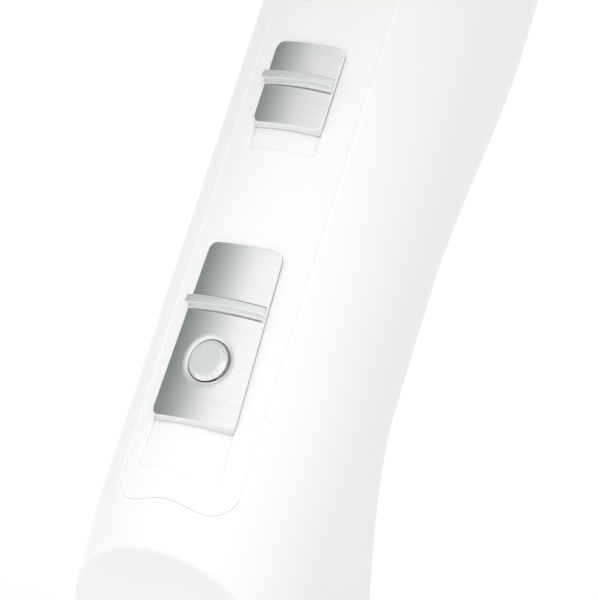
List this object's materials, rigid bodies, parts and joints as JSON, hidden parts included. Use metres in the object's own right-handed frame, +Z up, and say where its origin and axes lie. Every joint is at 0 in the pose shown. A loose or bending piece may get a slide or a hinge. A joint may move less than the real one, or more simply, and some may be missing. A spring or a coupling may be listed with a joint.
{
  "type": "hair dryer",
  "caption": "Hand-held hair dryer: leaning pistol handle with wavy control panel, brushed slide switches, cold-shot button, barrel with fan and heater, and a flat concentrator.",
  "frame": {"origin": "middle of the hand grip, on the axis of the round front of the handle", "axes": "+Z up with the barrel level, air leaves toward -X, handle leans 15 degrees with its lower end toward -X, XZ is the mirror plane"},
  "size_m": [0.2226, 0.0824, 0.2325],
  "materials": {
    "white_shell": "high gloss warm white",
    "silver_plate": "fine horizontal brushing",
    "silver_button": "satin with bright rim",
    "dark_plastic": "fine texture",
    "smoke_nozzle": "gloss white",
    "collar_metal": "polished",
    "soft_rubber": "satin",
    "steel": "plain",
    "copper_alloy": "plain",
    "mica": "mica sheet",
    "heater_wire": "oxidised",
    "board": "laminate",
    "switch_black": "moulded",
    "inner_white": "moulded",
    "ferrite": "sintered",
    "wire_jacket": "silicone sleeve"
  },
  "bodies": {
    "housing": {"handle_shell": "white_shell", "control_panel": "white_shell", "inlet_bushing": "soft_rubber", "cord_clamp": "inner_white", "clamp_screws": "steel", "hang_loop": "soft_rubber", "barrel_shell": "white_shell", "rear_housing": "white_shell", "rear_grille": "dark_plastic", "outlet_grille": "dark_plastic", "saddle_brace": "inner_white", "saddle_screws": "steel", "switch_board": "board", "speed_switch": "switch_black", "heat_switch": "switch_black", "terminal_block": "inner_white", "board_screws": "steel", "wiring": "wire_jacket", "guide_vanes": "dark_plastic", "motor_can": "steel", "motor_magnets": "ferrite", "motor_end_bell": "copper_alloy", "motor_bushes": "copper_alloy", "motor_brushes": "ferrite", "rectifier_board": "board", "heater_frame": "mica", "main_coil": "heater_wire", "low_coil": "heater_wire", "mica_tube": "mica", "thermostat": "steel", "thermal_fuse": "steel"},
    "speed_slide": {"speed_slider": "silver_plate", "speed_knob": "inner_white"},
    "heat_slide": {"heat_slider": "silver_plate", "heat_carriage": "inner_white", "cold_shot_contact": "copper_alloy", "button_spring": "steel"},
    "cold_shot": {"cold_shot_button": "silver_button"},
    "fan_rotor": {"motor_shaft": "steel", "armature": "copper_alloy", "commutator": "copper_alloy", "fan_impeller": "dark_plastic"},
    "filter": {"filter_cover": "white_shell", "filter_mesh": "steel"},
    "collar": {"nozzle_collar": "collar_metal"},
    "nozzle": {"concentrator_nozzle": "smoke_nozzle"}
  },
  "joints": [
    {"name": "speed_slide", "type": "slide", "parent": "housing", "child": "speed_slide", "axis": [-0.2588, 0, -0.9659], "range_m": [0, 0.0034]},
    {"name": "heat_slide", "type": "slide", "parent": "housing", "child": "heat_slide", "axis": [-0.2588, 0, -0.9659], "range_m": [0, 0.0076]},
    {"name": "cold_shot_press", "type": "slide", "parent": "heat_slide", "child": "cold_shot", "axis": [0.9659, 0, -0.2588], "range_m": [0, 0.001], "stiffness_N_per_m": 600, "springref_m": -0.0015, "deforming": ["button_spring"]},
    {"name": "fan_spin", "type": "hinge", "parent": "housing", "child": "fan_rotor", "pos_m": [0.045, 0, 0.1015], "axis": [1, 0, 0], "continuous": true},
    {"name": "filter_pull", "type": "slide", "parent": "housing", "child": "filter", "axis": [1, 0, 0], "range_m": [0, 0.015]},
    {"name": "nozzle_pull", "type": "slide", "parent": "housing", "child": "collar", "axis": [-1, 0, 0], "range_m": [0, 0.015]},
    {"name": "nozzle_turn", "type": "hinge", "parent": "collar", "child": "nozzle", "pos_m": [-0.09, 0, 0.1015], "axis": [1, 0, 0], "continuous": true}
  ]
}
